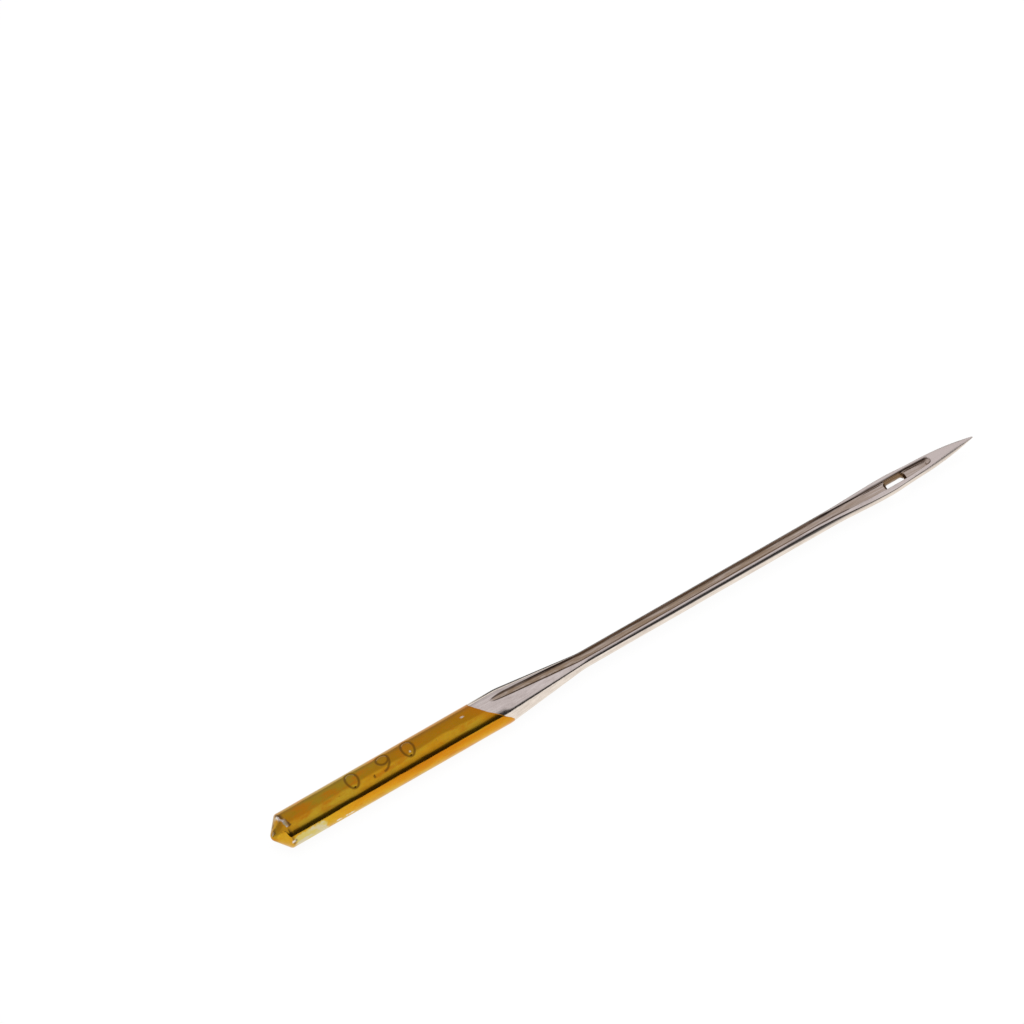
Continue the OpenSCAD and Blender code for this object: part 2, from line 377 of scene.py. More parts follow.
def pressTree(sizes):
    # rolls the flat layout round the axis and presses the grooves, faces and scarf into it
    tree, geometry, f, (x, r, lane) = newTree("pressNeedle", sizes)
    side = calc("SIGN", lane)
    a = calc("ABSOLUTE", lane)

    # floor and half width of the long groove, its flare and the recess
    flare = ramp(x, f["Flare Start"], f["Recess Start"])
    tail = ramp(x, f["Tail Start"], f["Tail Middle"])
    flat = ramp(x, f["Flare Start"], f["Recess Start"] - f["Flat Lead"], smooth=True)
    width = blend(blend(f["Groove Width"] * 0.5, f["Recess Width"] * 0.5, flare), f["Tail Width"] * 0.5, tail)
    width = least(width, r * f["Widest Share"])
    floor = most(0.0, (f["Groove Foot"] - x) * f["Groove Climb"], f["Foot Softness"])
    floor = floor + blend(f["Groove Floor"], f["Recess Floor"], flare)

    # pressed front face
    press = f["Press Radius"] - arc(f["Press Radius"], x - f["Press Middle"])
    frontFace = f["Front Height"] + press

    def frontHeight(y):
        return least(arc(r, y), frontFace, f["Press Rounding"])

    # corner of the groove's rim: where the round groove meets the blade, or straight up the recess wall
    centre = floor + width
    meet = (r * r - width * width + centre * centre) / (centre * 2.0)
    roundRim = least(most(arc(r, meet), f["Least Rim"], f["Rim Softness"]), width)
    rim = blend(roundRim, width, flat)
    rimHeight = frontHeight(rim)

    # the wall from the middle up to just below the rim, round and flat-floored
    wallTop, belowRim = 1.75, 0.97
    turn = least(a / wallTop, 1.0) * calc("ARCSINE", least(roundRim / width, 1.0)) * belowRim
    roundY = width * calc("SINE", turn)
    roundZ = centre - width * calc("COSINE", turn)
    corner = f["Recess Corner"]
    bend = ramp(a, 1.0, 1.5) * (math.pi / 2)
    flatY = least(a, 1.0) * (width - corner) + corner * calc("SINE", bend)
    bottom = floor + corner * (1.0 - calc("COSINE", bend))
    climb = ramp(a, 1.5, wallTop)
    flatZ = bottom + climb * most(rimHeight - f["Rim Rounding"] - floor - corner, 0.0)
    wallY = blend(roundY, flatY, flat)
    wallZ = blend(roundZ, flatZ, flat)

    def cutter(bottom, radius, reach):
        # underside of a round cutter, which runs away steeply beside it
        return bottom + radius - root(reach) + most(0.0 - reach, 0.0) * f["Cutter Steepness"]

    # round end of the recess and its dimple
    endRun = most(x - f["Tail Middle"], 0.0)
    past = root(wallY * wallY + endRun * endRun) - f["Tail Width"] * 0.5
    pastFillet = most(past + corner, 0.0) / corner
    lift = pastFillet * pastFillet * corner + most(past, 0.0) * f["Tail Steepness"]
    wallZ = wallZ + lift * ramp(x, f["Tail Middle"], f["Tail Middle"] + 0.03)
    run = x - f["Dimple Middle"]
    reach = f["Dimple Radius"] * f["Dimple Radius"] - run * run - wallY * wallY
    wallZ = least(wallZ, cutter(f["Dimple Floor"], f["Dimple Radius"], reach), f["Dimple Softness"])

    # the rim's rounding, a short curve from the wall over the corner onto the outside
    over = ramp(a, wallTop, 2.0)
    outY = rim + f["Rim Rounding"]
    outZ = frontHeight(outY)
    left = (1.0 - over) * (1.0 - over)
    mid = over * (1.0 - over) * 2.0
    right = over * over
    rimY = wallY * left + rim * mid + outY * right
    rimZ = wallZ * left + rimHeight * mid + outZ * right

    # outside of the needle, from the rim round to the flat of the back
    backEdge = least(f["Back Flat"], r * f["Widest Share"])
    startTurn = calc("ARCSINE", outY / r)
    endTurn = math.pi - calc("ARCSINE", backEdge / r)
    around = blend(blend(startTurn, math.pi / 2, ramp(a, 2.0, 3.0)), endTurn, ramp(a, 3.0, 4.0))
    outsideY = r * calc("SINE", around)
    outsideZ = r * calc("COSINE", around)
    front = least(outsideZ, frontFace, f["Press Rounding"])

    # back: pressed face, scarf and short groove
    eyeEdge = least(f["Eye Flat"], r * f["Eye Flat Share"])
    backY = blend(backEdge, eyeEdge, ramp(a, 4.0, 5.0)) * (1.0 - ramp(a, 5.0, 6.0))
    rearY = blend(outsideY, backY, calc("GREATER_THAN", a, 4.0))
    rearRound = arc(r, rearY)
    scarf = f["Scarf Height"] + f["Scarf Radius"] - arc(f["Scarf Radius"], x - f["Scarf Middle"])
    rear = least(least(rearRound, f["Back Height"] + press, f["Press Rounding"]), scarf, f["Scarf Softness"])
    run = most(f["Short Groove Start"] - x, 0.0) + most(x - f["Short Groove End"], 0.0)
    reach = f["Short Groove Radius"] * f["Short Groove Radius"] - run * run - rearY * rearY
    shortGroove = cutter(f["Short Groove Floor"], f["Short Groove Radius"], reach)
    rear = least(rear, shortGroove, f["Short Groove Softness"])

    # choose by lane
    inGroove = calc("LESS_THAN", a, wallTop + 0.0001)
    onRim = calc("LESS_THAN", a, 2.0)
    onRear = calc("GREATER_THAN", a, 3.0)
    y = blend(blend(rearY, rimY, onRim), wallY, inGroove)
    uncut = frontHeight(y)
    frontZ = blend(blend(front, rimZ, onRim), wallZ, inGroove)
    frontZ = blend(frontZ, least(frontZ, uncut), onRim)
    z = blend(frontZ, 0.0 - rear, onRear)

    # masks: painted shade where the surface is pressed in, where the point is ground, and a painted shade line up
    # the groove's walls
    w = wallShading
    lighter = ramp(x, f["Shade Fade"], f["Flare Start"], smooth=True) * w["lighter"]
    hollow = ramp(uncut - frontZ, 0.0, 0.05) * (1.0 - onRear) * (1.0 - lighter)
    hollow = hollow + ramp(rearRound - rear, 0.0, 0.06) * onRear * 0.5
    ground = ramp(x, f["Grind Start"], f["Grind Start"] + f["Grind Fade"], smooth=True)
    onBlade = window(x, w["bladeRise"], w["bladeFall"], smooth=True)
    shadeStart = blend(blend(w["shoulderShadeLane"], w["bladeShadeLane"], onBlade), w["recessShadeLane"], flat)
    # painted shade reaching further up the recess's far wall
    farWallShade = flat * calc("GREATER_THAN", lane, 0.0) * w["farWallShade"]
    shadeEnd = [farWallShade + laneEnd for laneEnd in w["shadeFall"]]
    wallShade = window(a, (shadeStart, shadeStart + w["shadeRise"]), shadeEnd) * (1.0 - onRear)
    wallShade = wallShade * ramp(rimHeight - floor, 0.0, 0.03) * (1.0 - onBlade * 0.5)
    wallShade = wallShade * (1.0 - ramp(x, f["Tail Middle"], f["Tail Middle"] + 0.2))
    place = joinVector(tree, (x - f["Middle"]) * mm, side * y * mm, (z + f["Axis Height"]) * mm)
    finishTree(tree, geometry, {"hollow": hollow, "ground": ground, "wallShade": wallShade}, place, f["Finish"])
    return tree


def cutEye(mesh, stations, s):
    # takes the eye's block of faces out, rounds its corners, slopes its ends and lines it with a wall
    count = len(ringLanes)
    first = min(range(len(stations)), key=lambda i: abs(stations[i][0] - s["eyeStart"]))
    last = min(range(len(stations)), key=lambda i: abs(stations[i][0] - eyeEnd))
    edgeLane, backLane, backMid = halfLanes.index(1), halfLanes.index(5), len(halfLanes) - 1
    size = len(mesh.vertices)
    co = np.empty(size * 3)
    mesh.vertices.foreach_get("co", co)
    co = co.reshape(-1, 3) / mm
    midX = s["eyeStart"] + s["eyeLength"] / 2 - lie["middle"]
    halfLen, halfWide, r = s["eyeLength"] / 2, s["eyeWidth"] / 2, s["eyeCorner"]
    frontLen = halfLen + s["eyeLead"]

    def rounded(u, v, reachU):
        # moves a point of a square-cornered grid so that the block's corner turns round
        cu = (abs(u) - (reachU - r)) / r
        cv = (abs(v) - (halfWide - r)) / r
        if cu <= 0 or cv <= 0:
            return u, v
        fade = min(1.0, max(0.0, 2.0 - max(cu, cv)))
        ku = cu * math.sqrt(1 - min(cv, 1.0) ** 2 / 2)
        kv = cv * math.sqrt(1 - min(cu, 1.0) ** 2 / 2)
        nu = (reachU - r) + r * (cu + (ku - cu) * fade)
        nv = (halfWide - r) + r * (cv + (kv - cv) * fade)
        return math.copysign(nu, u), math.copysign(nv, v)

    def led(u):
        # stretches the front of the eye by its sloped leads, and what lies beside it less and less
        if abs(u) / halfLen <= 1.0:
            return u * frontLen / halfLen
        fade = max(0.0, 1.0 - (abs(u) - halfLen) / s["leadFade"])
        return u + math.copysign(s["eyeLead"] * fade * fade * (3 - 2 * fade), u)

    span = 14  # stations on each side of the eye that make room
    for i in range(first - span, last + span + 1):
        for j, lane in enumerate(ringLanes):
            a = abs(lane)
            if 1.5 < a < 4.0:
                continue
            n = i * count + j
            u, v = co[n][0] - midX, co[n][1]
            if a <= 1.5:
                nu, nv = rounded(led(u), v, frontLen)
                hold = 1.0 - (a - 1.0) / 0.5 if a > 1.0 else 1.0
            else:
                nu, nv = rounded(u, v, halfLen)
                hold = a - 4.0 if a < 5.0 else 1.0
            co[n][0] = midX + u + (nu - u) * hold
            co[n][1] = v + (nv - v) * hold

    def loop(lanes):
        # points round the block, in the same order in front and behind
        lanes = [j % count for j in lanes]
        return ([first * count + j for j in lanes]
                + [i * count + lanes[-1] for i in range(first + 1, last)]
                + [last * count + j for j in reversed(lanes)]
                + [i * count + lanes[0] for i in range(last - 1, first, -1)])

    backEnd = 2 * backMid - backLane
    topLoop = loop(range(-edgeLane, edgeLane + 1))
    backLoop = loop(range(backEnd, backLane - 1, -1))
    around = len(topLoop)
    points = co.tolist()
    rings = [topLoop]
    leadRings, wallRings, leadDeeper = 4, 7, 0.02
    for k in range(1, leadRings + wallRings):
        rings.append(range(len(points), len(points) + around))
        for t, b in zip(topLoop, backLoop):
            # down the lead at about 45 degrees, then straight to the back
            tx, ty, tz = points[t]
            bx, by, bz = points[b]
            leadDrop = abs(tx - bx)
            if k <= leadRings:
                share = k / leadRings
                points.append((tx + (bx - tx) * share, ty + (by - ty) * share, tz - (leadDrop + leadDeeper) * share))
            else:
                low = tz - leadDrop - leadDeeper
                points.append((bx, by, low + (bz - low) * ((k - leadRings) / wallRings)))
    rings.append(backLoop)

    gone = {k % count for k in [*range(-edgeLane, edgeLane), *range(backLane, backEnd)]}
    faces = []
    for face in mesh.polygons:
        ids = list(face.vertices)
        i = min(ids) // count
        if len(ids) == 4 and first <= i < last and max(ids) // count == i + 1:
            js = sorted(n % count for n in ids)
            if (js[0] if js[-1] - js[0] < 2 else count - 1) in gone:
                continue
        faces.append(ids)
    for upper, lower in zip(rings, rings[1:]):
        for k in range(around):
            m = (k + 1) % around
            faces.append([upper[k], upper[m], lower[m], lower[k]])
    used = sorted({n for ids in faces for n in ids})
    newIndex = {n: k for k, n in enumerate(used)}

    # carry the masks over and add the eye's own painted shade, which thins out towards the back
    masks = {name: np.zeros(len(points)) for name in ("hollow", "ground", "wallShade", "eyeShade")}
    for name in ("hollow", "ground", "wallShade"):
        old = np.empty(size)
        mesh.attributes[name].data.foreach_get("value", old)
        masks[name][:size] = old
    for k, ring in enumerate(rings[1:-1]):
        masks["eyeShade"][ring] = 1.0 - 0.08 * max(0, k - 6)
    masks["eyeShade"][backLoop] = 0.6
    for i in range(first, last + 1):
        for j, lane in enumerate(ringLanes):
            if 1.0 < abs(lane) < 1.8:
                masks["eyeShade"][i * count + j] = 0.9
    cut = bpy.data.meshes.new("needle_steel")
    cut.from_pydata([Vector(points[n]) * mm for n in used], [], [[newIndex[n] for n in ids] for ids in faces])
    cut.materials.append(mesh.materials[0])
    for name, values in masks.items():
        cut.attributes.new(name, "FLOAT", "POINT").data.foreach_set("value", values[used])
    bpy.data.meshes.remove(mesh)
    return cut


# Lacquer: a thin film dipped over the shank, stamped with a plain number

lacquer = {
    "Film": 0.01, "Edge Middle": 13.4, "Edge Slope": 1.054, "Edge Turn": 0.8727, "Edge Reach": 0.75,
    "Edge Softness": 0.15, "Edge Waver": 0.09, "Slant Start": 9.7,
    "Stroke Width": 0.165, "Stamp Depth": 0.036,
    "Chip Size": 0.07, "Chip Waver": 0.1, "Chip Floor": 0.0008, "Chip Shadow Offset": 0.11, "Butt Edge": 0.87,
    "Thin Size": 0.2, "Unevenness": 0.007,
    "Shoulder": 14.0, "Shoulder Slope": 0.1155, "Shoulder Softness": 0.027,
    "Middle": lie["middle"], "Axis Height": lie["axisHeight"], "Steel Radius": 0.988,
}

stamp = {"start": 4.7, "pitch": 1.45, "height": 1.04, "width": 0.66, "rise": 0.02}

# worn spots as (distance, way round from the top, in radians)
chips = {
    "buttEdge": [(0.62 + 0.022 * i, 0.6 - 0.085 * i) for i in range(13)],
    "flank": [(0.13, 0.1), (0.2, 0.55), (0.3, 0.8), (0.42, 0.92), (0.54, 0.95)],
    "nose": [(0.1, -0.3), (0.14, -0.15)],
    "lowCorner": [(0.76, -1.47), (0.81, -1.42)],
    "lowSmear": [(3.43 + 0.11 * i, -1.72) for i in range(3)] + [(4.0 + 0.13 * i, -1.74) for i in range(4)],
    "specks": [(8.4, -0.24), (11.7, 0.02)],
}
thinSpots = [(1.2 + 0.28 * i, turn) for i in range(6) for turn in (-1.4, -1.75, -2.1)]


def digitStrokes(p):
    # strokes of the number as flat polylines, laid along the shank
    w, h = p["width"], p["height"]

    def ellipse(cx, cy, rx, ry, start=0.0, end=360.0, count=36):
        angles = [math.radians(start + (end - start) * i / count) for i in range(count + 1)]
        return [(cx + rx * math.cos(t), cy + ry * math.sin(t)) for t in angles]

    zero = [ellipse(w / 2, h / 2, w / 2, h / 2)]
    nine = [ellipse(w / 2, h * 0.68, w / 2, h * 0.32),
            ellipse(w * 0.1, h * 0.62, w * 0.9, h * 0.62, -80, 0, 18)]
    point = [[(0.2, 0.0), (0.2, 0.05)]]
    strokes = []
    for shapes, place in ((zero, 0.0), (point, 0.86), (nine, 1.32), (zero, 2.32)):
        for shape in shapes:
            strokes.append([(p["start"] + place * p["pitch"] + u, v - h / 2 + p["rise"]) for u, v in shape])
    return strokes


def guideObject(name, polylines):
    # edges or loose points that a tree measures distances from
    points, edges = [], []
    for line in polylines:
        base = len(points)
        points += [(u, v, 0.0) for u, v in line]
        edges += [(base + i, base + i + 1) for i in range(len(line) - 1)]
    mesh = bpy.data.meshes.new(name)
    mesh.from_pydata(points, edges, [])
    return addObject(name, mesh)


def distanceTo(tree, guide, place, element="POINTS"):
    info = tree.nodes.new("GeometryNodeObjectInfo")
    plug(tree, info.inputs["Object"], guide)
    near = tree.nodes.new("GeometryNodeProximity")
    near.target_element = element
    tree.links.new(info.outputs["Geometry"], near.inputs[0])
    plug(tree, near.inputs["Sample Position"], place)
    return Field(tree, near.outputs["Distance"])


def filmTree(sizes):
    # rolls the film's flat layout, slants its edge, stamps the number and opens the chips
    tree, geometry, f, (x, r, turn) = newTree("dipLacquer", sizes)
    around = joinVector(tree, 0.0, calc("SINE", turn), calc("COSINE", turn))
    slant = calc("COSINE", turn - (math.pi / 2 - f["Edge Turn"])) * f["Edge Slope"] * -1.0
    slant = least(slant, f["Edge Reach"], f["Edge Softness"])
    slant = slant + (noise(tree, around, 2.2, seed=4.0) - 0.5) * f["Edge Waver"] * 2.0
    along = x + slant * ramp(x, f["Slant Start"], f["Edge Middle"], smooth=True)

    flat = joinVector(tree, along, turn, 0.0)
    stroke = distanceTo(tree, f["Strokes"], flat, "EDGES")
    stamped = 1.0 - ramp(stroke, f["Stroke Width"] * 0.1, f["Stroke Width"] * 0.62, smooth=True)
    spread = (noise(tree, flat, 7.0, seed=1.5) - 0.5) * f["Chip Waver"] * 2.0
    size = f["Chip Size"]
    bare = 1.0 - ramp(distanceTo(tree, f["Chips"], flat) + spread, size * 0.7, size * 1.05)

    # painted shadow beside the chips of the butt's edge, set off towards the point, and a darker line along that
    # edge on the near side
    beside = joinVector(tree, along - f["Chip Shadow Offset"], turn, 0.0)
    chipShadowAndEdgeDark = 1.0 - ramp(distanceTo(tree, f["Chips"], beside) + spread, size, size * 1.5)
    chipShadowAndEdgeDark = chipShadowAndEdgeDark * (1.0 - bare) * (1.0 - ramp(x, 1.2, 1.4))
    offEdge = calc("ABSOLUTE", x - f["Butt Edge"] + spread * 0.6)
    buttEdgeDark = (1.0 - ramp(offEdge, 0.03, 0.09)) * window(turn, (-1.75, -1.6), (-0.75, -0.5))
    chipShadowAndEdgeDark = most(chipShadowAndEdgeDark, buttEdgeDark * (1.0 - bare) * 0.8)
    thinRange = distanceTo(tree, f["Thin Spots"], flat) + spread * 1.4
    thin = 1.0 - ramp(thinRange, f["Thin Size"], f["Thin Size"] * 1.5)

    # only the outer skin is stamped or chipped, the inner one stays under the steel's surface
    isButt = 1.0 - ramp(x, 0.9, 1.0)
    outer = most(ramp(r, f["Steel Radius"] - 0.004, f["Steel Radius"] + 0.004), isButt)
    depth = most(stamped * f["Stamp Depth"], bare * (f["Film"] - f["Chip Floor"]))
    ripple = noise(tree, joinVector(tree, along * 0.35, turn * 1.3, 0.0), 1.6, 2.0, seed=7.0) - 0.5
    uneven = (0.5 - least(most(ripple * 2.0, -0.5), 0.5)) * f["Unevenness"]

    # the shoulder falls away, less the lift of the soft maximum before it
    bend = f["Shoulder Softness"]
    shoulder = most(0.0, (along - f["Shoulder"]) * f["Shoulder Slope"], bend)
    shoulder = shoulder - bend * 0.25 * (1.0 - ramp(along, 13.25, 13.95))
    radius = r - (depth + uneven * (1.0 - isButt)) * outer - most(shoulder, 0.0)

    masks = {"stamped": stamped * outer, "bare": bare, "chipShadowAndEdgeDark": chipShadowAndEdgeDark, "thin": thin,
             "fromEdge": f["Edge Middle"] - x}
    place = joinVector(tree, (along - f["Middle"]) * mm, radius * calc("SINE", turn) * mm,
                       (radius * calc("COSINE", turn) + f["Axis Height"]) * mm)
    finishTree(tree, geometry, masks, place, f["Finish"])
    return tree


def filmStations(s, p):
    # outer skin from the nose to the edge, the rounded edge, and the inner skin back to the nose
    edge, outer = p["Edge Middle"], s["shankRadius"] + p["Film"]
    places = spaced(((1.0, 0.05), (4.4, 0.03), (9.6, 0.2), (edge - 0.5, 0.04)), edge - 0.02)
    stations = buttOutline(s, p["Film"], 8) + [(x, outer) for x in places]
    stations += [(edge - back, outer - drop) for back, drop in ((0.02, 0.0), (0.008, 0.003), (0.0, 0.008))]
    sunk = 0.008
    inside, seat, slope = s["shankRadius"] - sunk, s["seatRadius"] - sunk, s["seatSlope"]
    stations += [(edge, s["shankRadius"] - 0.006), (12.0, inside), (s["seatEnd"] + slope, inside),
                 (s["seatEnd"], seat), (s["seatStart"], seat), (s["seatStart"] - slope, inside), (1.2, inside)]
    return stations + buttOutline(s, -0.01, 3)[::-1]


def filmLanes():
    # fine lanes over the number, plain ones elsewhere
    fine = [-0.66 + 0.02 * i for i in range(67)]
    upper = [0.66 + 0.04 * i for i in range(1, 14)]
    rest = [1.18 + (2 * math.pi - 3.46) * i / 30 for i in range(1, 30)]
    lower = [-2.28 + 0.03 * i for i in range(54)]
    return fine + upper + rest + lower


# Finishes

def nodeGroup(name, inputs, outputs):
    # shader group with named sockets: its inputs as fields, and its end
    group = bpy.data.node_groups.new(name, "ShaderNodeTree")
    for label, value in inputs.items():
        socket = group.interface.new_socket(label, in_out="INPUT", socket_type="NodeSocketFloat")
        socket.default_value = value
    for label in outputs:
        group.interface.new_socket(label, in_out="OUTPUT", socket_type="NodeSocketFloat")
    start = group.nodes.new("NodeGroupInput")
    fields = {label: Field(group, start.outputs[label]) for label in inputs}
    return group, fields, group.nodes.new("NodeGroupOutput")


def useGroup(tree, group, values):
    node = tree.nodes.new("ShaderNodeGroup")
    node.node_tree = group
    for label, value in values.items():
        node.inputs[label].default_value = value
    return {s.name: Field(tree, s) for s in node.outputs}


def objectPoint(tree, stretch=(1.0, 1.0, 1.0)):
    # the piece's own coordinates in millimetres, times stretch
    source = tree.nodes.new("ShaderNodeTexCoord")
    mapping = tree.nodes.new("ShaderNodeMapping")
    mapping.inputs["Scale"].default_value = [share / mm for share in stretch]
    tree.links.new(source.outputs["Object"], mapping.inputs["Vector"])
    return Field(tree, mapping.outputs[0])


def ownNoise(tree, stretch, scale, detail, rough):
    return noise(tree, objectPoint(tree, stretch), scale, detail, rough)


def mixColour(tree, first, second, amount):
    node = tree.nodes.new("ShaderNodeMix")
    node.data_type = "RGBA"
    plug(tree, node.inputs["Factor"], amount)
    for label, colour in (("A", first), ("B", second)):
        plug(tree, node.inputs[label], (*colour, 1.0) if isinstance(colour, tuple) else colour)
    return node.outputs["Result"]


def layerColours(tree, colour, layers):
    # lays each colour over the ones before it, as strongly as its mask
    for over, mask in layers:
        colour = mixColour(tree, colour, over, mask)
    return colour


def attributeField(tree, name):
    node = tree.nodes.new("ShaderNodeAttribute")
    node.attribute_name = name
    return Field(tree, node.outputs["Fac"])


def polishLinesGroup():
    # fine lines of the polishing, drawn out along the needle
    group, values, end = nodeGroup("polishLines", {"Density": 60.0}, ["Height", "Streaks"])
    plug(group, end.inputs["Height"], ownNoise(group, (0.06, 1.0, 1.0), values["Density"], 3.0, 0.6))
    plug(group, end.inputs["Streaks"], ownNoise(group, (0.055, 1.0, 1.0), 11.0, 3.0, 0.6))
    return group


def handlingGroup():
    # small dark specks and faint rubbed patches from being handled
    group, values, end = nodeGroup("handling", {"Speck Size": 0.2}, ["Specks", "Rub"])
    place = objectPoint(group)
    cells = group.nodes.new("ShaderNodeTexVoronoi")
    cells.inputs["Scale"].default_value = 1.7
    plug(group, cells.inputs["Vector"], place)
    seed = group.nodes.new("ShaderNodeSeparateColor")
    group.links.new(cells.outputs["Color"], seed.inputs[0])
    chosen = calc("GREATER_THAN", Field(group, seed.outputs[0]), 0.6)
    near = Field(group, cells.outputs["Distance"]) + noise(group, place, 9.0, 2.0) * 0.12
    size = values["Speck Size"]
    plug(group, end.inputs["Specks"], (1.0 - ramp(near, size * 0.5, size)) * chosen)
    plug(group, end.inputs["Rub"], noise(group, place, 0.8, 4.0, 0.6))
    return group


def newMaterial(name, finish):
    material = bpy.data.materials.new(name)
    material.use_nodes = True
    shader = material.node_tree.nodes["Principled BSDF"]
    shader.inputs["Metallic"].default_value = 1.0
    shader.inputs["Coat Weight"].default_value = finish["coat"]
    shader.inputs["Coat Roughness"].default_value = 0.03
    return material, material.node_tree, shader


def bumpNode(tree, shader, height, distance, strength):
    bump = tree.nodes.new("ShaderNodeBump")
    bump.inputs["Distance"].default_value = distance
    bump.inputs["Strength"].default_value = strength
    plug(tree, bump.inputs["Height"], height)
    tree.links.new(bump.outputs[0], shader.inputs["Normal"])


steelFinish = {
    "bright": (0.90, 0.84, 0.81), "dull": (0.60, 0.53, 0.50), "ground": (0.80, 0.73, 0.70),
    # the three darker colours on this line are painted shade: in the pressed groove, up its walls and inside the eye
    "hollow": (0.40, 0.30, 0.21), "wallShade": (0.07, 0.045, 0.03), "eye": (0.20, 0.12, 0.06),
    "speck": (0.16, 0.13, 0.11), "lineDensity": 45.0, "speckSize": 0.13,
    "roughness": 0.11, "groundRoughness": 0.36, "coat": 0.0, "bumpDepth": 0.0000014, "bumpStrength": 0.6,
}

lacquerFinish = {
    # the thick colour is thicker film in patches and at the edge, and painted shade in a band along the near side
    "amber": (0.78, 0.38, 0.012), "olive": (0.66, 0.46, 0.03), "thickFilmAndShade": (0.62, 0.20, 0.005),
    # the two upper colours are painted shade for the top and far side of the shank
    "brown": (0.55, 0.26, 0.01), "upper": (0.40, 0.17, 0.004), "upperOliveShade": (0.34, 0.22, 0.012),
    # the rim colour is painted shadow beside the chips, a darker line along the butt's edge, and dark blotches on
    # the bare steel near the butt
    "thin": (0.66, 0.59, 0.20), "clouded": (0.66, 0.66, 0.60), "rim": (0.07, 0.035, 0.02),
    "speck": (0.09, 0.04, 0.01), "stroke": (0.16, 0.07, 0.006), "steel": (0.82, 0.78, 0.76),
    "lineDensity": 25.0, "speckSize": 0.16,
    "roughness": 0.1, "coat": 0.08, "bumpDepth": 0.0000018, "bumpStrength": 0.5,
}


def makeSteel(lines, handling):
    v = steelFinish
    material, tree, shader = newMaterial("platedSteel", v)
    polish = useGroup(tree, lines, {"Density": v["lineDensity"]})
    marks = useGroup(tree, handling, {"Speck Size": v["speckSize"]})
    hollow, ground, wallShade, eyeShade = [attributeField(tree, name) for name in ("hollow", "ground", "wallShade", "eyeShade")]
    rub = ramp(marks["Rub"], 0.35, 0.7)
    streak = ramp(polish["Streaks"], 0.36, 0.66)
    grain = ramp(ownNoise(tree, (1.0, 1.0, 1.0), 8.0, 3.0, 0.7), 0.4, 0.65)
    colour = layerColours(tree, v["bright"], (
        (v["dull"], streak * 0.5 + rub * 0.2 + grain * 0.2),
        (v["ground"], ground * 0.85),
        # painted shade in the groove and the pressed hollows, darker where deeper
        (v["hollow"], least(hollow * (streak * 0.6 + 0.62), 1.0)),
        # painted shade line up the groove's walls
        (v["wallShade"], wallShade * (0.8 + streak * 0.15)),
        # painted shade inside the eye and on the groove's walls beside it
        (v["eye"], eyeShade),
        (v["speck"], marks["Specks"] * 0.7),
    ))
    tree.links.new(colour, shader.inputs["Base Color"])
    rough = streak * 0.05 + rub * 0.06 + hollow * 0.08 + eyeShade * 0.2 + (v["roughness"] - 0.05)
    plug(tree, shader.inputs["Roughness"], blend(rough, v["groundRoughness"], ground))
    bumpNode(tree, shader, polish["Height"], v["bumpDepth"], v["bumpStrength"])
    return material


